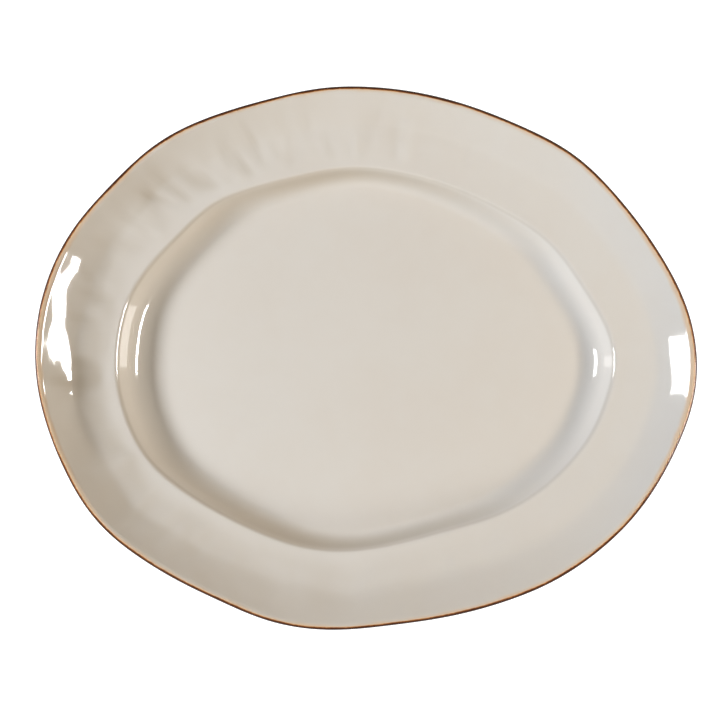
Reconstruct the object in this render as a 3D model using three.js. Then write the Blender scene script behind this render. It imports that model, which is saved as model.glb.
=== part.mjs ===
// Oval serving platter in glazed stoneware, with a hand-shaped edge: a flat well, a steep shoulder, a wide
// upswept flange and a foot ring. It is drawn in its layers: the fired clay, the foot ring luted under it,
// the three coats of glaze and the iron-oxide band brushed round the edge.
// Millimetres, +Z up, +X along the length. The origin is on the surface the foot stands on, under the middle.
import * as THREE from "three";

// Plan. The section is turned round as if the platter were a disc of radius EDGE, then pushed out to the
// two outlines: the edge, and the verge, where the flange turns down into the well.
const EDGE = 254;
const VERGE = 193;
const CREST = 3.5; // the verge's crest lies this far outside the corner that its outline is drawn to
const SIDE_SQUEEZE = 0.42; // the shoulder is this much narrower along the sides than at the ends
const BELT = 138; // from here out to the shoulder, widths stay true all the way round
const SEGMENTS = 64;

// Section, from the middle outwards.
const WELL_HEIGHT = 12;
const SHOULDER_RISE = 14;
const WALL = 5.2; // glaze to glaze
const COVE_RADIUS = 30;
const CROWN_RADIUS = 9;
const SHOULDER_SLOPE = THREE.MathUtils.degToRad(42);
const VERGE_SLOPE = THREE.MathUtils.degToRad(5);
const FLANGE_SLOPE = THREE.MathUtils.degToRad(10);
const KNEE_RADIUS = 30; // where the flange turns up
const UPTURN_SLOPE = THREE.MathUtils.degToRad(22);
const LIP_SLOPE = THREE.MathUtils.degToRad(29);
const UPTURN = 22; // the steeper outer part of the flange, from the knee to the lip

// Layers. GAP is the hairline left between any two pieces, which stands for the bond.
const GLAZE = 0.6;
const GAP = 0.3;
const CLAY_DEPTH = GLAZE + GAP;
const LIP_RADIUS = WALL / 2;

// Foot ring, in bare clay at its base.
const FOOT_OUTSIDE = 156; // the clay's radius at the root
const FOOT_WIDTH = 10;
const FOOT_DRAFT = 1.4; // each side draws in by this much from root to base
const FOOT_CHAMFER = 0.8;
const FOOT_BARE = 1.6; // wiped clean of glaze up to this height
const FOOT_FILLET = 2;

// How finely the curves are drawn.
const CORNER_SAMPLES = 60;
const COVE_STEPS = 4;
const BEND_STEPS = 3;
const KNEE_STEPS = 2;
const LIP_STEPS = 5;
const FILLET_MIDWAY = 1 - Math.SQRT1_2; // how far in from both ends the middle of a fillet lies

const CREAM = 0xd8cfc1;
const PALE_CLAY = 0xcbb493;
const IRON_BROWN = 0x7a4424;
const BARE = 0.9; // roughness
const FACE_GLOSS = 0.12;
const BACK_GLOSS = 0.18;

// The edge and the verge, seen from above and going anticlockwise from the right-hand end. Both are flattened
// and bulged by hand, so they share their corners only roughly.
const EDGE_OUTLINE = [
  [254, 2], [247, 38], [224, 83], [188, 130], [159, 157], [122, 177], [68, 197.5],
  [20, 207], [-30, 208], [-75, 199], [-126, 183], [-160, 165.5], [-195, 134], [-230, 92],
  [-250, 42], [-253.3, -14], [-238, -71], [-207, -125], [-163, -160], [-115, -185], [-72, -202.5],
  [-32, -208.5], [14, -205.5], [84, -193.5], [150, -168], [204, -124], [237, -72], [252.5, -28],
];
const VERGE_OUTLINE = [
  [192, -4], [190, 10], [184, 28], [166, 57], [148, 82], [128, 99.5], [78, 126], [36, 139.5],
  [-10, 145.5], [-61, 137], [-114, 120], [-140, 98], [-169, 67], [-184, 42], [-191, 10],
  [-190, -26], [-171, -73], [-145, -98], [-93, -128], [-44, -145], [-2, -146], [60, -132],
  [110, -116], [150, -88], [177, -53],
];

// Distance from the middle to a closed, smooth outline, in any direction.
function outlineRadius(corners) {
  const curve = new THREE.CatmullRomCurve3(
    corners.map(([x, y]) => new THREE.Vector3(x, y, 0)),
    true,
    "centripetal",
  );
  const samples = curve
    .getPoints(CORNER_SAMPLES * corners.length)
    .slice(0, -1)
    .map((p) => ({ angle: Math.atan2(p.y, p.x), radius: Math.hypot(p.x, p.y) }))
    .sort((a, b) => a.angle - b.angle);
  const first = samples[0];
  const last = samples[samples.length - 1];
  samples.unshift({ angle: last.angle - 2 * Math.PI, radius: last.radius });
  samples.push({ angle: first.angle + 2 * Math.PI, radius: first.radius });
  return (angle) => {
    const i = samples.findIndex((s) => s.angle > angle);
    const [a, b] = [samples[i - 1], samples[i]];
    const share = (angle - a.angle) / (b.angle - a.angle);
    return THREE.MathUtils.lerp(a.radius, b.radius, share);
  };
}
const edgeRadius = outlineRadius(EDGE_OUTLINE);
const vergeRadius = outlineRadius(VERGE_OUTLINE);

// Carries a radius on the round disc to the platter's own plan.
function planRadius(radius, angle) {
  const verge = vergeRadius(angle) + CREST;
  if (radius > VERGE) {
    const flange = (radius - VERGE) / (EDGE - VERGE);
    return THREE.MathUtils.lerp(verge, edgeRadius(angle), flange);
  }
  const squeeze = 1 - SIDE_SQUEEZE * Math.sin(angle) ** 2;
  if (radius > wellRadius) return verge - (VERGE - radius) * squeeze;
  const well = verge - (VERGE - wellRadius) * squeeze;
  if (radius > BELT) return well - (wellRadius - radius);
  return (well - (wellRadius - BELT)) * (radius / BELT);
}

// Adds an arc to a section line, tangent to it, from one slope to another. A rising slope bends upwards.
function bend(line, radius, from, to, steps) {
  const side = Math.sign(to - from);
  const start = line[line.length - 1];
  const centre = new THREE.Vector2(
    start.x - side * radius * Math.sin(from),
    start.y + side * radius * Math.cos(from),
  );
  for (let i = 1; i <= steps; i++) {
    const slope = THREE.MathUtils.lerp(from, to, i / steps);
    line.push(
      new THREE.Vector2(
        centre.x + side * radius * Math.sin(slope),
        centre.y - side * radius * Math.cos(slope),
      ),
    );
  }
}

// Runs of the shoulder and the flange that follow from the driving dimensions.
const coveRun = COVE_RADIUS * Math.sin(SHOULDER_SLOPE);
const coveRise = COVE_RADIUS * (1 - Math.cos(SHOULDER_SLOPE));
const crownRun = CROWN_RADIUS * (Math.sin(SHOULDER_SLOPE) - Math.sin(VERGE_SLOPE));
const crownRise = CROWN_RADIUS * (Math.cos(VERGE_SLOPE) - Math.cos(SHOULDER_SLOPE));
const wallRise = SHOULDER_RISE - coveRise - crownRise;
const wallRun = wallRise / Math.tan(SHOULDER_SLOPE);
const wellRadius = VERGE - crownRun - wallRun - coveRun;
const kneeRun = KNEE_RADIUS * (Math.sin(UPTURN_SLOPE) - Math.sin(FLANGE_SLOPE));
const flangeRun = EDGE - VERGE - LIP_RADIUS * (1 + Math.sin(LIP_SLOPE)) - UPTURN - kneeRun;
const flangeRadius = flangeRun / (Math.sin(FLANGE_SLOPE) - Math.sin(VERGE_SLOPE));
const upturnRadius = UPTURN / (Math.sin(LIP_SLOPE) - Math.sin(UPTURN_SLOPE));

// The line that runs at one depth under the face, from the axis out to the lip.
function sectionLine(depth) {
  const line = [
    new THREE.Vector2(0, WELL_HEIGHT - depth),
    new THREE.Vector2(wellRadius, WELL_HEIGHT - depth),
  ];
  bend(line, COVE_RADIUS + depth, 0, SHOULDER_SLOPE, COVE_STEPS);
  const foot = line[line.length - 1];
  line.push(new THREE.Vector2(foot.x + wallRun, foot.y + wallRise));
  bend(line, CROWN_RADIUS - depth, SHOULDER_SLOPE, VERGE_SLOPE, BEND_STEPS);
  bend(line, flangeRadius + depth, VERGE_SLOPE, FLANGE_SLOPE, 1);
  bend(line, KNEE_RADIUS + depth, FLANGE_SLOPE, UPTURN_SLOPE, KNEE_STEPS);
  bend(line, upturnRadius + depth, UPTURN_SLOPE, LIP_SLOPE, BEND_STEPS);
  return line;
}

// The round of the lip, from the face over to the back, about a centre halfway through the wall.
function lipArc(radius) {
  const middle = sectionLine(LIP_RADIUS).pop();
  const start = LIP_SLOPE + Math.PI / 2;
  return new THREE.EllipseCurve(
    middle.x, middle.y, radius, radius, start, start - Math.PI, true,
  ).getPoints(LIP_STEPS);
}

// A section line cut short by GAP, so that the coat stops clear of the edge band.
function coatLine(depth) {
  const line = sectionLine(depth);
  const end = line.pop();
  const before = line[line.length - 1];
  const back = before.clone().sub(end).setLength(GAP);
  line.push(end.clone().add(back));
  return line;
}

// The foot's clay wall at a height, on the outside (side 1) or the inside (side -1).
const footRoot = WELL_HEIGHT - WALL + GLAZE;
function footWall(side, height) {
  const middle = FOOT_OUTSIDE - FOOT_WIDTH / 2;
  const drawn = FOOT_DRAFT * (1 - height / footRoot);
  return middle + side * (FOOT_WIDTH / 2 - drawn);
}

// The glaze that turns off the underside and runs down one side of the foot, on its outer surface.
function footCoat(side) {
  const under = WELL_HEIGHT - WALL;
  const root = footWall(side, under) + side * CLAY_DEPTH;
  const wallTop = under - FOOT_FILLET;
  const midway = FILLET_MIDWAY * FOOT_FILLET;
  return [
    new THREE.Vector2(root + side * FOOT_FILLET, under),
    new THREE.Vector2(root + side * midway, under - midway),
    new THREE.Vector2(footWall(side, wallTop) + side * CLAY_DEPTH, wallTop),
    new THREE.Vector2(footWall(side, FOOT_BARE) + side * CLAY_DEPTH, FOOT_BARE),
    new THREE.Vector2(footWall(side, FOOT_BARE) + side * GAP, FOOT_BARE),
    new THREE.Vector2(footWall(side, footRoot) + side * GAP, footRoot),
  ];
}

function clayBodySection() {
  const back = sectionLine(WALL - CLAY_DEPTH);
  const lip = lipArc(LIP_RADIUS - CLAY_DEPTH).reverse();
  const face = sectionLine(CLAY_DEPTH).reverse();
  return [...back, ...lip.slice(1, -1), ...face];
}

function faceGlazeSection() {
  return [...coatLine(GLAZE), ...coatLine(0).reverse()];
}

function backGlazeSection() {
  const inner = coatLine(WALL - GLAZE).slice(1).reverse();
  const outer = coatLine(WALL).slice(1);
  const section = [...inner, ...footCoat(1).reverse(), ...outer];
  return [...section, section[0]];
}

function recessGlazeSection() {
  const under = WELL_HEIGHT - WALL;
  return [new THREE.Vector2(0, under), ...footCoat(-1), new THREE.Vector2(0, footRoot)];
}

function footRingSection() {
  const outside = footWall(1, 0);
  const inside = footWall(-1, 0);
  const section = [
    new THREE.Vector2(inside + FOOT_CHAMFER, 0),
    new THREE.Vector2(outside - FOOT_CHAMFER, 0),
    new THREE.Vector2(footWall(1, FOOT_CHAMFER), FOOT_CHAMFER),
    new THREE.Vector2(footWall(1, footRoot), footRoot),
    new THREE.Vector2(footWall(-1, footRoot), footRoot),
    new THREE.Vector2(footWall(-1, FOOT_CHAMFER), FOOT_CHAMFER),
  ];
  return [...section, section[0]];
}

function edgeBandSection() {
  const section = [...lipArc(LIP_RADIUS).reverse(), ...lipArc(LIP_RADIUS - GLAZE)];
  return [...section, section[0]];
}

// Turns a section into a round piece, then pushes it out to the platter's plan.
function piece(name, section, colour, roughness) {
  const geometry = new THREE.LatheGeometry(section, SEGMENTS).rotateX(Math.PI / 2);
  const position = geometry.getAttribute("position");
  for (let i = 0; i < position.count; i++) {
    const [x, y] = [position.getX(i), position.getY(i)];
    const angle = Math.atan2(y, x);
    const radius = planRadius(Math.hypot(x, y), angle);
    position.setXY(i, radius * Math.cos(angle), radius * Math.sin(angle));
  }
  geometry.computeVertexNormals();
  const material = new THREE.MeshStandardMaterial({ color: colour, roughness, metalness: 0 });
  const mesh = new THREE.Mesh(geometry, material);
  mesh.name = name;
  return mesh;
}

const platter = new THREE.Group();
platter.add(
  piece("clay_body", clayBodySection(), PALE_CLAY, BARE),
  piece("foot_ring", footRingSection(), PALE_CLAY, BARE),
  piece("face_glaze", faceGlazeSection(), CREAM, FACE_GLOSS),
  piece("back_glaze", backGlazeSection(), CREAM, BACK_GLOSS),
  piece("recess_glaze", recessGlazeSection(), CREAM, BACK_GLOSS),
  piece("edge_band", edgeBandSection(), IRON_BROWN, BACK_GLOSS),
);

export default platter;
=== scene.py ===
# A hand-shaped oval serving platter in glazed stoneware. Every coat is spun from one drawn section,
# pushed out to the platter's uneven outline, and pressed about by hand.
import math
import random

import bpy
import numpy as np
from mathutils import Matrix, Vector


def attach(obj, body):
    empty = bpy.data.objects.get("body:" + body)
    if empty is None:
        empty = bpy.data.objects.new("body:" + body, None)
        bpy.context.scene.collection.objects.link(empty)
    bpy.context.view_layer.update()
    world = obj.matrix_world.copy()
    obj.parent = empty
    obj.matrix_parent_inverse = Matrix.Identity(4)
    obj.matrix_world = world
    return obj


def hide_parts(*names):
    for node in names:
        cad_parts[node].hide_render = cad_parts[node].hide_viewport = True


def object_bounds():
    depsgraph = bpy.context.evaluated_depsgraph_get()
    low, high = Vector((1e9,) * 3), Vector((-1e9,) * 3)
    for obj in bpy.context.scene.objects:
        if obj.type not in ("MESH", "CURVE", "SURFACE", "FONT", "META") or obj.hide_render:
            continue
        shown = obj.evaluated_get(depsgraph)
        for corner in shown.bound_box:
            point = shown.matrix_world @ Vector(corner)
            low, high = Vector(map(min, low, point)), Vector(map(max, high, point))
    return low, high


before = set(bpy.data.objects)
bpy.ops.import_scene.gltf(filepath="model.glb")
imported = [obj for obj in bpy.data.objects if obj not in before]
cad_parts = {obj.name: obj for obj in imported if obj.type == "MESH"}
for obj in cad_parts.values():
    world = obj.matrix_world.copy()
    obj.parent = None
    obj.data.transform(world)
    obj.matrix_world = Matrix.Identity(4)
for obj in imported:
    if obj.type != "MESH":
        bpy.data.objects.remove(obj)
cad_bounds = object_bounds()

MM = 0.001

# Section of the platter as turned, in metres, with slopes in degrees.
WELL_HEIGHT = 12 * MM
WALL = 5.2 * MM
COVE_RADIUS = 30 * MM
CROWN_RADIUS = 9 * MM
FLANGE_RADIUS = 319 * MM
KNEE_RADIUS = 30 * MM
UPTURN_RADIUS = 188 * MM
ROLL_RADIUS = 11 * MM
SHOULDER_RISE = 14 * MM
SHOULDER_SLOPE = 42
VERGE_SLOPE = 5
FLANGE_SLOPE = 10
KNEE_SLOPE = 22
UPTURN_SLOPE = 29
ROLL_SLOPE = 8

# The coats, by depth under the surface, and the foot that the clay stands on.
GLAZE = 0.6 * MM
CLAY_DEPTH = 0.9 * MM
FOOT_ROOT = WELL_HEIGHT - WALL + GLAZE
FOOT_OUTSIDE = 156 * MM
FOOT_WIDTH = 10 * MM
FOOT_DRAFT = 1.4 * MM
FOOT_BARE = 1.6 * MM
FOOT_FILLET = 2 * MM
FOOT_BEAD = 0.6 * MM
FOOT_ROUNDING = 1.4 * MM
FOOT_GAP = 0.05 * MM

# How finely the section's curves are cut, the longest step along it, and the steps round the axis.
COVE_STEPS = 10
CROWN_STEPS = 10
FLANGE_STEPS = 12
KNEE_STEPS = 5
UPTURN_STEPS = 8
ROLL_STEPS = 6
LIP_STEPS = 16
BACK_STEPS = 8
FILLET_STEPS = 6
BEAD_STEPS = 5
FACE_STRIDE = 3.2 * MM
BACK_STRIDE = 4.5 * MM
WELL_STRIDE = 8 * MM
SAME_POINT = 0.001 * MM
WELD = 0.002 * MM
AROUND = 384
AROUND_HIDDEN = 192

# Plan. A radius on the turned disc is carried to the platter's own outline.
VERGE = 193 * MM
VERGE_HEIGHT = WELL_HEIGHT + SHOULDER_RISE
VERGE_TOLERANCE = 0.02 * MM
BELT = 138 * MM
SIDE_SQUEEZE = 0.42
COLUMNS = 64
HARMONICS = 26

# The knee strays in and out round the side that the platter was held by, most of all a third of the
# way across the flange, where share * (1 - share) ** 2 comes to 4 / 27.
HELD_TURN = 0.35
KNEE_STRAY = 0.024
KNEE_WAVES = (5, 9, 14, 20)
KNEE_SEED = 11
KNEE_PEAK = 4 / 27


# ---------------------------------------------------------------- section

def left_of(heading):
    turn = math.radians(heading)
    return np.array([-math.sin(turn), math.cos(turn)])


class Bend:
    """An arc of the section, walked from one heading to another with the clay on the right."""

    def __init__(self, centre, radius, start, end, steps):
        self.centre = centre
        self.radius = radius
        self.start = start
        self.end = end
        self.side = 1 if end > start else -1
        self.steps = steps

    @classmethod
    def after(cls, where, radius, start, end, steps):
        side = 1 if end > start else -1
        return cls(where + side * radius * left_of(start), radius, start, end, steps)

    def point(self, heading, depth=0.0):
        return self.centre - self.side * (self.radius + self.side * depth) * left_of(heading)

    def finish(self):
        return self.point(self.end)

    def opposite(self, steps, start=None):
        """The same bend on the other side of the wall, walked back."""
        begin = self.end - 180 if start is None else start
        return Bend(
            self.centre, self.radius + self.side * WALL, begin, self.start - 180, steps
        )

    def line(self, depth, coarse=1):
        headings = np.linspace(self.start, self.end, max(2, self.steps // coarse) + 1)
        return [self.point(h, depth) for h in headings]


def shoulder_run():
    slope, verge = math.radians(SHOULDER_SLOPE), math.radians(VERGE_SLOPE)
    cove = COVE_RADIUS * math.sin(slope)
    crown = CROWN_RADIUS * (math.sin(slope) - math.sin(verge))
    rise = (
        SHOULDER_RISE
        - COVE_RADIUS * (1 - math.cos(slope))
        - CROWN_RADIUS * (math.cos(verge) - math.cos(slope))
    )
    return cove + crown + rise / math.tan(slope), rise / math.sin(slope)


run, wall_length = shoulder_run()
well_edge = np.array([VERGE - run, WELL_HEIGHT])
cove = Bend.after(well_edge, COVE_RADIUS, 0, SHOULDER_SLOPE, COVE_STEPS)
wall_top = cove.finish() - wall_length * left_of(SHOULDER_SLOPE + 90)
crown = Bend.after(wall_top, CROWN_RADIUS, SHOULDER_SLOPE, VERGE_SLOPE, CROWN_STEPS)
flange = Bend.after(crown.finish(), FLANGE_RADIUS, VERGE_SLOPE, FLANGE_SLOPE, FLANGE_STEPS)
knee = Bend.after(flange.finish(), KNEE_RADIUS, FLANGE_SLOPE, KNEE_SLOPE, KNEE_STEPS)
upturn = Bend.after(knee.finish(), UPTURN_RADIUS, KNEE_SLOPE, UPTURN_SLOPE, UPTURN_STEPS)
roll = Bend.after(upturn.finish(), ROLL_RADIUS, UPTURN_SLOPE, ROLL_SLOPE, ROLL_STEPS)


def lip_bend():
    """The round of the lip, from the end of the roll to a tangent on the back of the upturn."""
    back = upturn.radius + WALL
    across = roll.finish() - upturn.centre
    inward = -left_of(ROLL_SLOPE)
    radius = (back**2 - across @ across) / (2 * (across @ inward + back))
    centre = roll.finish() + radius * inward
    out = centre - upturn.centre
    slope = math.degrees(math.atan2(out[0], -out[1]))
    return Bend(centre, radius, ROLL_SLOPE, slope - 180, LIP_STEPS)


lip = lip_bend()
EDGE = lip.centre[0] + lip.radius
face_bends = [cove, crown, flange, knee, upturn, roll]
back_bends = [
    upturn.opposite(BACK_STEPS, start=lip.end),
    knee.opposite(KNEE_STEPS),
    flange.opposite(BACK_STEPS),
    crown.opposite(BACK_STEPS),
    cove.opposite(BACK_STEPS),
]


def trace(bends, depth, coarse=1):
    """The bends joined up at one depth under the surface, with no point twice."""
    line = []
    for bend in bends:
        for point in bend.line(depth, coarse):
            if not line or np.linalg.norm(point - line[-1]) > SAME_POINT:
                line.append(point)
    return line


def divide(line, longest):
    """The line with its long stretches cut into equal steps."""
    cut = [line[0]]
    for a, b in zip(line, line[1:]):
        pieces = max(1, math.ceil(np.linalg.norm(b - a) / longest))
        cut += [a + (b - a) * k / pieces for k in range(1, pieces + 1)]
    return cut


def from_middle(line, longest):
    """The line with a level stretch from the middle out to its start."""
    middle = np.array([0.0, line[0][1]])
    return divide([middle, line[0]], longest)[:-1] + line


def face_line(depth, coarse=1):
    line = divide(trace(face_bends, depth, coarse), FACE_STRIDE * coarse)
    return from_middle(line, WELL_STRIDE * coarse)


def back_line(depth, coarse=1):
    return divide(trace(back_bends, depth, coarse), BACK_STRIDE * coarse)


def quarter_turn(steps):
    return np.linspace(0, math.pi / 2, steps + 1)


def foot_wall(side, height):
    """The foot's bare wall at a height, on its outside (side 1) or its inside (side -1)."""
    drawn = FOOT_DRAFT * (1 - height / FOOT_ROOT)
    return FOOT_OUTSIDE - FOOT_WIDTH / 2 + side * (FOOT_WIDTH / 2 - drawn)


def foot_coat(side):
    """The glaze where it turns off the underside and runs down the foot, to a rounded bead."""
    under = WELL_HEIGHT - WALL
    outer = foot_wall(side, under) + side * CLAY_DEPTH
    centre = np.array([outer + side * FOOT_FILLET, under - FOOT_FILLET])
    fillet = [
        centre + FOOT_FILLET * np.array([-side * math.sin(a), math.cos(a)])
        for a in quarter_turn(FILLET_STEPS)
    ]
    thick = CLAY_DEPTH - FOOT_GAP
    ring = foot_wall(side, FOOT_BARE) + side * FOOT_GAP
    bead = [
        np.array([ring + side * thick * math.cos(a), FOOT_BARE + FOOT_BEAD * (1 - math.sin(a))])
        for a in quarter_turn(BEAD_STEPS)
    ]
    top = np.array([foot_wall(side, FOOT_ROOT) + side * FOOT_GAP, FOOT_ROOT])
    return fillet + bead + [top]


# ---------------------------------------------------------------- plan

def measured_ring(node, chosen):
    """Radius by column of the CAD points that chosen() keeps, the largest in each column."""
    found = np.zeros(COLUMNS)
    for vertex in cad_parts[node].data.vertices:
        x, y, z = vertex.co
        if chosen(z):
            column = round(math.atan2(y, x) / (2 * math.pi) * COLUMNS) % COLUMNS
            found[column] = max(found[column], math.hypot(x, y))
    return found


def smooth_ring(samples):
    """A smooth closed outline through measured radii."""
    waves = np.fft.rfft(samples)[: HARMONICS + 1] / len(samples)
    order = np.arange(len(waves))
    fade = np.cos(0.5 * math.pi * order / (HARMONICS + 1)) ** 0.5
    weight = np.where(order == 0, 1.0, 2.0) * fade

    def radius(angle):
        turns = np.exp(1j * np.outer(angle, order))
        return (turns * (waves * weight)).real.sum(axis=1)

    return radius


edge_radius = smooth_ring(measured_ring("edge_band", lambda z: True))
verge_radius = smooth_ring(
    measured_ring("face_glaze", lambda z: abs(z - VERGE_HEIGHT) < VERGE_TOLERANCE)
)


def held_side(angle, turn=HELD_TURN):
    """1 where the platter was held while it was pressed into shape, 0 on the far side."""
    return 0.5 - 0.5 * np.cos(angle - turn)


def knee_stray(angle):
    """How far the knee of the flange strays inwards or outwards, as a share of the flange."""
    chance = random.Random(KNEE_SEED)
    stray = 0
    for order in KNEE_WAVES:
        stray = stray + np.sin(order * angle + chance.uniform(0, 2 * math.pi))
    return KNEE_STRAY * stray * held_side(angle)


def plan_radius(reach, angle):
    """Where a radius on the turned disc comes to on the platter, in the direction of the angle."""
    verge = verge_radius(angle)
    edge = edge_radius(angle)
    squeeze = 1 - SIDE_SQUEEZE * np.sin(angle) ** 2
    well = verge - (VERGE - well_edge[0]) * squeeze
    belt = well - (well_edge[0] - BELT)
    share = np.clip((reach - VERGE) / (EDGE - VERGE), 0, 1)
    share = share + knee_stray(angle) / KNEE_PEAK * share * (1 - share) ** 2
    flange_part = verge + (edge - verge) * share
    shoulder_part = verge - (VERGE - reach) * squeeze
    foot_part = well - (well_edge[0] - reach)
    parts = [reach > VERGE, reach > well_edge[0], reach > BELT]
    return np.select(parts, [flange_part, shoulder_part, foot_part], belt * reach / BELT)


# ---------------------------------------------------------------- making the pieces

def active_only(piece):
    bpy.ops.object.select_all(action="DESELECT")
    piece.select_set(True)
    bpy.context.view_layer.objects.active = piece


def points_of(piece):
    flat = np.zeros(len(piece.data.vertices) * 3)
    piece.data.vertices.foreach_get("co", flat)
    return flat.reshape(-1, 3)


def set_points(piece, points):
    piece.data.vertices.foreach_set("co", points.ravel())
    piece.data.update()


def open_at_middle(piece):
    """Takes away the edge that runs down the axis, which would spin into nothing."""
    mesh = piece.data
    last = len(mesh.vertices) - 1
    for edge in mesh.edges:
        edge.select = set(edge.vertices) == {0, last}
    for vertex in mesh.vertices:
        vertex.select = vertex.index in (0, last)
    bpy.ops.object.mode_set(mode="EDIT")
    bpy.ops.mesh.select_mode(type="EDGE")
    bpy.ops.mesh.delete(type="EDGE")
    bpy.ops.mesh.select_mode(type="VERT")
    bpy.ops.object.mode_set(mode="OBJECT")


def spin_piece(name, section, around):
    """Spins a closed section round the platter's axis."""
    bpy.ops.object.select_all(action="DESELECT")
    bpy.ops.mesh.primitive_circle_add(vertices=len(section), radius=VERGE, fill_type="NOTHING")
    piece = bpy.context.object
    piece.name = name
    piece.data.name = name
    for vertex, (reach, height) in zip(piece.data.vertices, section):
        vertex.co = (reach, 0, height)
    if section[0][0] == 0 and section[-1][0] == 0:
        open_at_middle(piece)
    bpy.ops.object.mode_set(mode="EDIT")
    bpy.ops.mesh.select_all(action="SELECT")
    bpy.ops.mesh.spin(steps=around, angle=2 * math.pi, center=(0, 0, 0), axis=(0, 0, 1))
    bpy.ops.mesh.select_all(action="SELECT")
    bpy.ops.mesh.remove_doubles(threshold=WELD)
    bpy.ops.mesh.normals_make_consistent(inside=False)
    bpy.ops.object.mode_set(mode="OBJECT")
    return piece


def note(piece, name, values):
    """Keeps a number for each point, for the finish to read."""
    attribute = piece.data.attributes.new(name, "FLOAT", "POINT")
    attribute.data.foreach_set("value", values.astype(np.float32))


def smoothstep(value, low, high):
    share = np.clip((value - low) / (high - low), 0, 1)
    return share * share * (3 - 2 * share)


# Painted shade laid into the glaze colour: on the shoulder along the two long sides, partly glaze
# pooling where the outline squeezes it steepest; on the outer part of the flange along the long
# sides, most of all on its near side; and on the flange's left side.
SHADE_POOL_INSIDE = 166 * MM
SHADE_POOL_MIDDLE = 184 * MM
SHADE_POOL_OUTSIDE = 193 * MM
OUTER_START = EDGE - 40 * MM
OUTER_FULL = EDGE - 20 * MM
OUTER_SHADE = 0.32
NEAR_SIDE_SHADE = 0.12
LEFT_SHADE = 0.40
LEFT_SHADE_LOSS = 0.32
LEFT_SHADE_FULL = VERGE + 16 * MM

# The brush laid the band on further in at the two ends of the platter.
BRUSH_REACH = 2.2 * MM
BRUSH_SHARPNESS = 6


def push_out(piece):
    """Carries the turned piece to the outline, and notes what its finish reads at each point."""
    points = points_of(piece)
    reach = np.hypot(points[:, 0], points[:, 1])
    angle = np.arctan2(points[:, 1], points[:, 0])
    note(piece, "reach", reach)
    lap = np.arctan2(points[:, 2] - lip.centre[1], reach - lip.centre[0])
    note(piece, "lap", lap)
    # Painted shade for the glaze colour: the shoulder and outer flange along the long sides, and
    # the flange's left side, weighted by held_side.
    steep = smoothstep(reach, SHADE_POOL_INSIDE, SHADE_POOL_MIDDLE)
    steep = steep * smoothstep(reach, SHADE_POOL_OUTSIDE, SHADE_POOL_MIDDLE)
    outer = smoothstep(reach, OUTER_START, OUTER_FULL)
    held = held_side(angle) ** 2 * smoothstep(reach, VERGE, LEFT_SHADE_FULL)
    rim_shade = (OUTER_SHADE - NEAR_SIDE_SHADE * np.sin(angle)) * outer
    left_shade = held * (LEFT_SHADE - LEFT_SHADE_LOSS * outer)
    note(piece, "shade_and_pool", (steep + rim_shade) * np.sin(angle) ** 2 + left_shade)
    note(piece, "brush", BRUSH_REACH * np.cos(angle) ** BRUSH_SHARPNESS)
    radius = plan_radius(reach, angle)
    points[:, 0] = radius * np.cos(angle)
    points[:, 1] = radius * np.sin(angle)
    set_points(piece, points)
    return reach, angle


WEIGHT_LEVELS = 40


def weight_group(piece, name, weights):
    """A vertex group of the weights, rounded to a few dozen levels so that each is added once."""
    group = piece.vertex_groups.new(name=name)
    level = np.rint(np.clip(weights, 0, 1) * WEIGHT_LEVELS).astype(int)
    for step in range(1, WEIGHT_LEVELS + 1):
        chosen = np.nonzero(level == step)[0].tolist()
        if chosen:
            group.add(chosen, step / WEIGHT_LEVELS, "REPLACE")


# The size and the depth of the hand's uneven pressure, from the whole rim, the palm and the
# fingers, where it starts on the flange, and the share of it that reaches the far side.
SWAY_SIZE = 95 * MM
SWAY_DEPTH = 2.4 * MM
PALM_SIZE = 26 * MM
PALM_DEPTH = 1.0 * MM
FINGER_SIZE = 12 * MM
FINGER_DEPTH = 0.36 * MM
PRESSED_START = VERGE + 2 * MM
PRESSED_FULL = VERGE + 22 * MM
FAR_SIDE_PRESS = 0.2

# The strokes of the thumb, their width, length and depth each drawn between two limits, in
# millimetres.
THUMB_SEED = 7
THUMB_COUNT = 230
THUMB_TURN = -0.45
THUMB_GATHER = 3
THUMB_NEAREST = VERGE + 6 * MM
THUMB_FURTHEST = EDGE - 22 * MM
THUMB_WIDTHS = (3.5, 7.5)
THUMB_LENGTHS = (14.0, 30.0)
THUMB_DEPTHS = (-0.28, 0.34)
THUMB_LEAN = 0.25
THUMB_START = VERGE + 1 * MM
THUMB_FULL = VERGE + 12 * MM
THUMB_FADING = EDGE - 30 * MM
THUMB_GONE = EDGE - 8 * MM


def noise_texture(name, size, detail):
    texture = bpy.data.textures.new(name, "CLOUDS")
    texture.noise_scale = size
    texture.noise_depth = detail
    texture.noise_basis = "BLENDER_ORIGINAL"
    return texture


rim_sway = noise_texture("rim_sway", SWAY_SIZE, 0)
palm_press = noise_texture("palm_press", PALM_SIZE, 1)
finger_press = noise_texture("finger_press", FINGER_SIZE, 0)


def thumb_marks():
    """Long shallow strokes drawn across the flange, most of them on the side it was held by."""
    chance = random.Random(THUMB_SEED)
    marks = []
    while len(marks) < THUMB_COUNT:
        angle = chance.uniform(-math.pi, math.pi)
        held = held_side(angle, THUMB_TURN)
        if chance.random() < held**THUMB_GATHER:
            marks.append({
                "angle": angle,
                "reach": chance.uniform(THUMB_NEAREST, THUMB_FURTHEST),
                "width": chance.uniform(*THUMB_WIDTHS) * MM,
                "length": chance.uniform(*THUMB_LENGTHS) * MM,
                "lean": chance.gauss(0.0, THUMB_LEAN),
                "depth": chance.uniform(*THUMB_DEPTHS) * MM * held,
            })
    return marks


hand_marks = thumb_marks()


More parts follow.
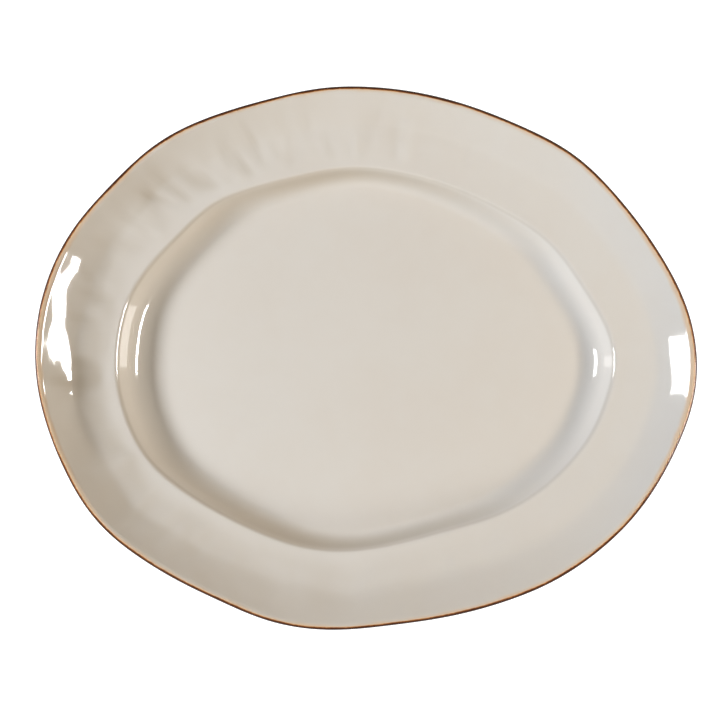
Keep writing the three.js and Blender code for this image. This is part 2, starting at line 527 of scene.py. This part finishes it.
def press_thumb(piece, reach, angle):
    """Sinks the thumb marks into the piece, fading them out at the verge and towards the lip."""
    sunk = np.zeros(len(reach))
    for mark in hand_marks:
        away = (angle - mark["angle"] + math.pi) % (2 * math.pi) - math.pi
        along = reach - mark["reach"]
        across = away * mark["reach"] - along * mark["lean"]
        spread = (across / mark["width"]) ** 2 + (along / mark["length"]) ** 2
        sunk += mark["depth"] * np.exp(-spread)
    sunk *= smoothstep(reach, THUMB_START, THUMB_FULL)
    note(piece, "sunk", sunk / MM)
    points = points_of(piece)
    points[:, 2] -= sunk * smoothstep(reach, THUMB_GONE, THUMB_FADING)
    set_points(piece, points)


def press(piece, name, texture, strength, group):
    """Raises and lowers the piece, so that all its coats move together."""
    active_only(piece)
    modifier = piece.modifiers.new(name, "DISPLACE")
    modifier.texture = texture
    modifier.texture_coords = "LOCAL"
    modifier.direction = "Z"
    modifier.mid_level = 0.5
    modifier.strength = strength
    modifier.vertex_group = group
    bpy.ops.object.modifier_apply(modifier=name)


def shape_by_hand(piece):
    reach, angle = push_out(piece)
    flange_share = smoothstep(reach, PRESSED_START, PRESSED_FULL)
    left_share = held_side(angle, 0)
    weight_group(piece, "flange", flange_share)
    pressed = FAR_SIDE_PRESS + (1 - FAR_SIDE_PRESS) * left_share
    weight_group(piece, "pressed", flange_share * pressed)
    press(piece, "sway", rim_sway, SWAY_DEPTH, "flange")
    press(piece, "palm", palm_press, PALM_DEPTH, "pressed")
    press(piece, "finger", finger_press, FINGER_DEPTH, "pressed")
    press_thumb(piece, reach, angle)


# Corners sharper than this, in degrees, stay crisp.
SHARP_CORNER = 50


def finish_mesh(piece, material, node):
    active_only(piece)
    bpy.ops.object.shade_smooth_by_angle(angle=math.radians(SHARP_CORNER))
    piece.data.materials.clear()
    piece.data.materials.append(material)
    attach(piece, "root")
    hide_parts(node)


# ---------------------------------------------------------------- finishes

class Value:
    """A shader socket that can be used in sums."""

    def __init__(self, finish, socket):
        self.finish = finish
        self.socket = socket

    def sum(self, operation, first, second):
        return self.finish.node("ShaderNodeMath", {"operation": operation}, {0: first, 1: second})

    def __add__(self, other):
        return self.sum("ADD", self, other)

    def __radd__(self, other):
        return self.sum("ADD", other, self)

    def __sub__(self, other):
        return self.sum("SUBTRACT", self, other)

    def __rsub__(self, other):
        return self.sum("SUBTRACT", other, self)

    def __mul__(self, other):
        return self.sum("MULTIPLY", self, other)

    def __rmul__(self, other):
        return self.sum("MULTIPLY", other, self)


class Finish:
    """A material with one Principled shader, built up from its nodes."""

    def __init__(self, name, roughness=0.5):
        self.material = bpy.data.materials.new(name)
        self.material.use_nodes = True
        self.tree = self.material.node_tree
        self.shader = self.tree.nodes["Principled BSDF"]
        self.shader.inputs["Roughness"].default_value = roughness

    def join(self, value, socket):
        if isinstance(value, Value):
            self.tree.links.new(value.socket, socket)
        elif hasattr(value, "__len__") and len(value) == 3 and len(socket.default_value) == 4:
            socket.default_value = (*value, 1.0)
        else:
            socket.default_value = value

    def node(self, kind, settings=None, sockets=None, output=0):
        made = self.tree.nodes.new(kind)
        for name, setting in (settings or {}).items():
            setattr(made, name, setting)
        for name, value in (sockets or {}).items():
            self.join(value, made.inputs[name])
        return Value(self, made.outputs[output])

    def set(self, name, value):
        self.join(value, self.shader.inputs[name])

    def place(self):
        return self.node("ShaderNodeTexCoord", output="Object")

    def note(self, name):
        return self.node("ShaderNodeAttribute", {"attribute_name": name}, output="Fac")

    def noise(self, scale, detail=2.0, roughness=0.5, shift=0.0):
        where = self.place()
        if shift:
            where = self.node(
                "ShaderNodeVectorMath", {"operation": "ADD"}, {0: where, 1: (shift, shift, shift)}
            )
        sockets = {"Vector": where, "Scale": scale, "Detail": detail, "Roughness": roughness}
        return self.node("ShaderNodeTexNoise", sockets=sockets, output="Fac")

    def speckle(self, scale):
        sockets = {"Vector": self.place(), "Scale": scale, "Randomness": 1.0}
        return self.node("ShaderNodeTexVoronoi", {"feature": "F1"}, sockets, output="Distance")

    def fade(self, value, low, high, start=0.0, end=1.0):
        """Turns a value into start below low and end above high, with a smooth step between."""
        sockets = {
            "Value": value, "From Min": low, "From Max": high, "To Min": start, "To Max": end
        }
        return self.node("ShaderNodeMapRange", {"interpolation_type": "SMOOTHSTEP"}, sockets)

    def mix(self, share, first, second):
        made = self.tree.nodes.new("ShaderNodeMix")
        made.data_type = "RGBA"
        self.join(share, made.inputs[0])
        self.join(first, made.inputs[6])
        self.join(second, made.inputs[7])
        return Value(self, made.outputs[2])

    def bump(self, height, distance, below=None):
        sockets = {"Height": height, "Distance": distance, "Strength": 1.0}
        if below:
            sockets["Normal"] = below
        return self.node("ShaderNodeBump", sockets=sockets)


IVORY = (0.70, 0.628, 0.563)
IVORY_WARM = (0.68, 0.590, 0.512)
# The darker tone, for glaze pooled thick and for painted shade.
POOLED_AND_SHADED = (0.50, 0.413, 0.325)
# The lighter tone, for glaze run thin and for painted light on raised strokes.
THIN_AND_LIT = (0.80, 0.735, 0.67)
PEACH = (0.72, 0.47, 0.27)
AMBER = (0.50, 0.19, 0.055)
BROWN = (0.17, 0.055, 0.02)
DARK_BROWN = (0.06, 0.02, 0.010)
BISCUIT = (0.58, 0.47, 0.33)
BISCUIT_DARK = (0.42, 0.31, 0.20)
TOAST = (0.36, 0.20, 0.10)

# How strongly each part of the glaze takes its colour.
WARM_TINT = 0.35
CREST_SHADE_TINT = 0.30
SUNK_SHADE_TINT = 0.50
RAISED_LIGHT_TINT = 0.45
SHADE_POOL_TINT = 0.8
RIM_TINT = 0.7

# A painted shade line along the crest of the shoulder, and the start of the peach bleed from the
# band.
CREST_INSIDE = 187.2 * MM
CREST_MIDDLE = 189.4 * MM
CREST_OUTSIDE = 192.0 * MM
BLEED_START = 248.6 * MM
BLEED_FULL = 252.0 * MM
BLEED_WANDER = 3 * MM

# The depth in millimetres at which a stroke has its full colour.
SUNK_FULL = 0.8
RAISED_FULL = -0.6

GLAZE_IOR = 1.52
FACE_ROUGHNESS = 0.045
BACK_ROUGHNESS = 0.09


def ivory_glaze(name, roughness):
    """Ivory glaze with slow clouds of a warmer tone, and small waves that its gloss picks up."""
    finish = Finish(name)
    reach = finish.note("reach")
    cloud = finish.noise(9.0, detail=3.0)
    mottle = finish.noise(55.0, detail=2.0, shift=3.0)
    tone = finish.fade(cloud * 0.65 + mottle * 0.35, 0.36, 0.66)
    base = finish.mix(tone * WARM_TINT, IVORY, IVORY_WARM)
    # Painted shade: a thin darker line along the crest of the shoulder.
    crest_rise = finish.fade(reach, CREST_INSIDE, CREST_MIDDLE)
    crest_fall = finish.fade(reach, CREST_MIDDLE, CREST_OUTSIDE, 1.0, 0.0)
    base = finish.mix(crest_rise * crest_fall * CREST_SHADE_TINT, base, POOLED_AND_SHADED)
    sunk = finish.note("sunk")
    # The strokes: darker where sunk and lighter where raised, partly thicker and thinner glaze and
    # partly painted shade and painted light that stand in for the strokes' shading.
    base = finish.mix(finish.fade(sunk, 0.0, SUNK_FULL) * SUNK_SHADE_TINT, base, POOLED_AND_SHADED)
    base = finish.mix(finish.fade(sunk, RAISED_FULL, 0.0, 1.0, 0.0) * RAISED_LIGHT_TINT, base, THIN_AND_LIT)
    # Painted shade: darker on the shoulder and outer flange along the long sides and on the
    # flange's left side, partly glaze pooling on the shoulder.
    base = finish.mix(finish.note("shade_and_pool") * SHADE_POOL_TINT, base, POOLED_AND_SHADED)
    bleed = reach + finish.note("brush") + (mottle - 0.5) * BLEED_WANDER
    base = finish.mix(finish.fade(bleed, BLEED_START, BLEED_FULL) * RIM_TINT, base, PEACH)
    finish.set("Base Color", base)
    finish.set("Roughness", roughness + finish.noise(30.0) * 0.03)
    broad = finish.bump(finish.noise(38.0, detail=1.0), 0.10 * MM)
    finish.set("Normal", finish.bump(finish.noise(240.0, detail=1.0), 0.012 * MM, broad))
    finish.set("IOR", GLAZE_IOR)
    return finish.material


# Where the band changes colour, by the angle round the lip in radians, 0 outside and 1.57 on top,
# and how far the melt, the grain and the brush move those places.
TOP_FADE = (1.58, 1.74)
AMBER_FADE = (1.38, 1.56)
DARK_FADE = (1.05, 1.42)
UNDER_FADE = (-2.3, -1.4)
BAND_WANDER = 0.55
BAND_GRAIN = 0.25
BAND_BRUSH = 90.0


def iron_band():
    """Brushed-on iron that melts out peach on the face and pools dark on the outside."""
    finish = Finish("iron_band")
    wander = finish.noise(60.0, detail=3.0) - 0.5
    grain = finish.noise(420.0, detail=2.0) - 0.5
    melt = finish.note("lap") + wander * BAND_WANDER + grain * BAND_GRAIN
    lap = melt + finish.note("brush") * BAND_BRUSH
    base = finish.mix(finish.fade(lap, *TOP_FADE, 1.0, 0.0), PEACH, AMBER)
    base = finish.mix(finish.fade(lap, *AMBER_FADE, 1.0, 0.0), base, BROWN)
    base = finish.mix(finish.fade(lap, *DARK_FADE, 1.0, 0.0), base, DARK_BROWN)
    base = finish.mix(finish.fade(lap, *UNDER_FADE, 0.8, 0.0), base, AMBER)
    finish.set("Base Color", base)
    finish.set("Roughness", 0.12 + finish.noise(200.0) * 0.1)
    finish.set("Normal", finish.bump(finish.noise(300.0), 0.02 * MM))
    finish.set("IOR", GLAZE_IOR)
    return finish.material


def bare_clay():
    """Fired clay where the glaze was wiped off: sandy, patchy, with toasted specks."""
    finish = Finish("bare_clay")
    sand = finish.noise(900.0, detail=4.0, roughness=0.65)
    patch = finish.noise(40.0, detail=2.0)
    base = finish.mix(finish.fade(patch * 0.5 + sand * 0.5, 0.35, 0.68), BISCUIT_DARK, BISCUIT)
    speck = finish.fade(finish.speckle(700.0), 0.10, 0.16, 1.0, 0.0)
    base = finish.mix(speck * finish.fade(patch, 0.5, 0.6), base, TOAST)
    finish.set("Base Color", base)
    finish.set("Roughness", 0.82 + sand * 0.12)
    finish.set("Normal", finish.bump(sand, 0.12 * MM))
    return finish.material


face_finish = ivory_glaze("ivory_glaze", FACE_ROUGHNESS)
back_finish = ivory_glaze("ivory_glaze_back", BACK_ROUGHNESS)
band_finish = iron_band()
clay_finish = bare_clay()


# ---------------------------------------------------------------- the platter

face = spin_piece("face_coat", face_line(0.0) + face_line(GLAZE)[::-1], AROUND)
shape_by_hand(face)
finish_mesh(face, face_finish, "face_glaze")

back_section = back_line(0.0) + foot_coat(1) + back_line(GLAZE)[::-1]
back = spin_piece("back_coat", back_section, AROUND)
shape_by_hand(back)
finish_mesh(back, back_finish, "back_glaze")

recess_section = from_middle(foot_coat(-1), WELL_STRIDE) + [np.array([0.0, FOOT_ROOT])]
recess = spin_piece("recess_coat", recess_section, AROUND_HIDDEN)
shape_by_hand(recess)
finish_mesh(recess, back_finish, "recess_glaze")

band = spin_piece("edge_band_coat", lip.line(0.0) + lip.line(GLAZE)[::-1], AROUND)
shape_by_hand(band)
finish_mesh(band, band_finish, "edge_band")

clay_section = (
    face_line(CLAY_DEPTH, 2)
    + lip.line(CLAY_DEPTH, 2)[1:-1]
    + back_line(CLAY_DEPTH, 2)
    + [np.array([0.0, WELL_HEIGHT - WALL + CLAY_DEPTH])]
)
clay = spin_piece("clay_core", clay_section, AROUND_HIDDEN)
shape_by_hand(clay)
finish_mesh(clay, clay_finish, "clay_body")


def foot_section():
    """The foot ring's section, rounded where it stands."""
    quarter = quarter_turn(BEAD_STEPS)
    base = []
    for side, turns in ((-1, quarter), (1, quarter[::-1])):
        middle = np.array([foot_wall(side, 0) - side * FOOT_ROUNDING, FOOT_ROUNDING])
        base += [
            middle + FOOT_ROUNDING * np.array([side * math.cos(a), -math.sin(a)]) for a in turns
        ]
    tops = [np.array([foot_wall(side, FOOT_ROOT), FOOT_ROOT]) for side in (1, -1)]
    return base + tops


foot = spin_piece("foot_ring_clay", foot_section(), AROUND)
push_out(foot)
finish_mesh(foot, clay_finish, "foot_ring")


# ---------------------------------------------------------------- studio

FLOOR_SIZE = 40
FLOOR_DROP = 0.2 * MM
LAMP_AIM_HEIGHT = 0.03


def studio_floor():
    bpy.ops.object.select_all(action="DESELECT")
    bpy.ops.mesh.primitive_plane_add(size=FLOOR_SIZE, location=(0, 0, -FLOOR_DROP))
    floor = bpy.context.object
    floor.name = "floor"
    bpy.ops.object.transform_apply(location=True)
    finish = Finish("pale_floor", roughness=0.9)
    finish.set("Base Color", (0.3, 0.3, 0.3))
    finish.set("Emission Color", (1.0, 1.0, 1.0))
    finish.set("Emission Strength", 1.2)
    finish.set("Specular IOR Level", 0.0)
    floor.data.materials.append(finish.material)


def softbox(name, azimuth, elevation, distance, width, height, radiance, tint):
    """A lamp aimed at the platter, its place given by the direction that it stands in."""
    turn, lift = math.radians(azimuth), math.radians(elevation)
    toward = Vector(
        (math.cos(turn) * math.cos(lift), math.sin(turn) * math.cos(lift), math.sin(lift))
    )
    lamp = bpy.data.lights.new(name, "AREA")
    lamp.shape = "RECTANGLE"
    lamp.size = width
    lamp.size_y = height
    lamp.energy = radiance * math.pi * width * height
    lamp.color = tint
    holder = bpy.data.objects.new(name, lamp)
    bpy.context.scene.collection.objects.link(holder)
    holder.location = toward * distance + Vector((0, 0, LAMP_AIM_HEIGHT))
    holder.rotation_euler = toward.to_track_quat("Z", "Y").to_euler()
    holder.visible_camera = False
    return holder


def shading_lamp(*placing):
    """A broad lamp that shades the glaze but isn't mirrored in it."""
    softbox(*placing).visible_glossy = False


def mirror_panel(*placing):
    """A bright panel that is only seen mirrored in the glaze."""
    softbox(*placing).visible_diffuse = False


COOL = (0.82, 0.91, 1.0)
SUNNY = (1.0, 0.95, 0.83)
CLEAR = (0.94, 1.0, 1.0)
WHITE = (1.0, 1.0, 1.0)
CREAM = (1.0, 0.98, 0.95)

# Each with its azimuth and elevation in degrees, its distance, width and height in metres, and its
# radiance.
shading_lamp("left_lamp", 180, 20, 2.0, 1.0, 0.25, 86.0, COOL)
shading_lamp("right_lamp", 0, 25, 2.0, 1.0, 0.25, 50.0, SUNNY)
shading_lamp("front_lamp", 270, 22, 2.0, 1.4, 0.50, 6.0, CLEAR)
mirror_panel("left_panel", 180, 46, 1.87, 0.54, 0.30, 40.0, WHITE)
mirror_panel("right_panel", 349.3, 48.6, 2.32, 0.80, 0.24, 70.0, WHITE)
mirror_panel("left_low_panel", 180, 10.7, 2.2, 0.36, 0.40, 3.0, CREAM)
mirror_panel("right_low_panel", 349, 10.7, 2.2, 0.90, 0.36, 5.0, CREAM)

world = bpy.data.worlds.new("studio")
world.use_nodes = True
sky = world.node_tree.nodes["Background"]
sky.inputs["Color"].default_value = (*WHITE, 1.0)
sky.inputs["Strength"].default_value = 0.02
bpy.context.scene.world = world
bpy.context.scene.view_settings.view_transform = "Standard"

studio_floor()

# The camera looks straight down, its distance given above the edge of the platter.
CAMERA_AWAY = 2.5
VIEW_WIDTH = 0.552
CAMERA_X = -4.6 * MM
CAMERA_Y = -1.3 * MM
lens = bpy.data.cameras.new("overhead_camera")
lens.sensor_width = 36
lens.lens = lens.sensor_width * CAMERA_AWAY / VIEW_WIDTH
camera = bpy.data.objects.new("overhead_camera", lens)
bpy.context.scene.collection.objects.link(camera)
camera.location = (CAMERA_X, CAMERA_Y, cad_bounds[1].z + CAMERA_AWAY)
bpy.context.scene.camera = camera
